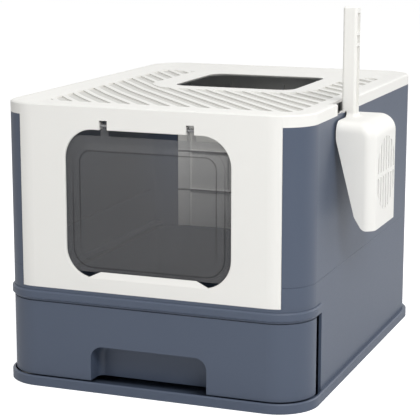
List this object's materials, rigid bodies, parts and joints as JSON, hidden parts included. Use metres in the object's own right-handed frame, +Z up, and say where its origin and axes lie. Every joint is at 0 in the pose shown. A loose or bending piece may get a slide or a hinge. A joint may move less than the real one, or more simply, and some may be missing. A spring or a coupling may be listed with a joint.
{
  "type": "litter box",
  "caption": "Enclosed litter box with a pull-out drawer tray, an inward swinging flap door, a lift-off grooved lid with a top exit, and a sifting scoop hung in a notch of the lid.",
  "frame": {"origin": "middle of the underside, on the floor", "axes": "+X to the right seen from the front, +Y from the front to the back, +Z up"},
  "size_m": [0.4055, 0.479, 0.421],
  "materials": {
    "blue_grey_plastic": "satin moulded polypropylene",
    "white_plastic": "satin moulded polypropylene",
    "smoke_plastic": "clear smoke-grey sheet",
    "pin_steel": "drawn wire"
  },
  "bodies": {
    "box": {"base_frame": "blue_grey_plastic", "left_side_wall": "blue_grey_plastic", "right_side_wall": "blue_grey_plastic", "rear_panel": "white_plastic"},
    "drawer_tray": {"drawer": "blue_grey_plastic"},
    "cover": {"lid": "white_plastic", "front_panel": "white_plastic", "left_hinge_pin": "pin_steel", "right_hinge_pin": "pin_steel"},
    "door": {"flap_door": "smoke_plastic"},
    "hand_scoop": {"scoop": "white_plastic"}
  },
  "joints": [
    {"name": "drawer_slide", "type": "slide", "parent": "box", "child": "drawer_tray", "axis": [0, -1, 0], "range_m": [0, 0.42]},
    {"name": "cover_lift", "type": "slide", "parent": "box", "child": "cover", "axis": [0, 0, 1], "range_m": [0, 0.25]},
    {"name": "door_swing", "type": "hinge", "parent": "cover", "child": "door", "pos_m": [0, -0.23, 0.297], "axis": [1, 0, 0], "range_deg": [0, 80]},
    {"name": "scoop_lift", "type": "slide", "parent": "cover", "child": "hand_scoop", "axis": [0, 0, 1], "range_m": [0, 0.15]}
  ]
}
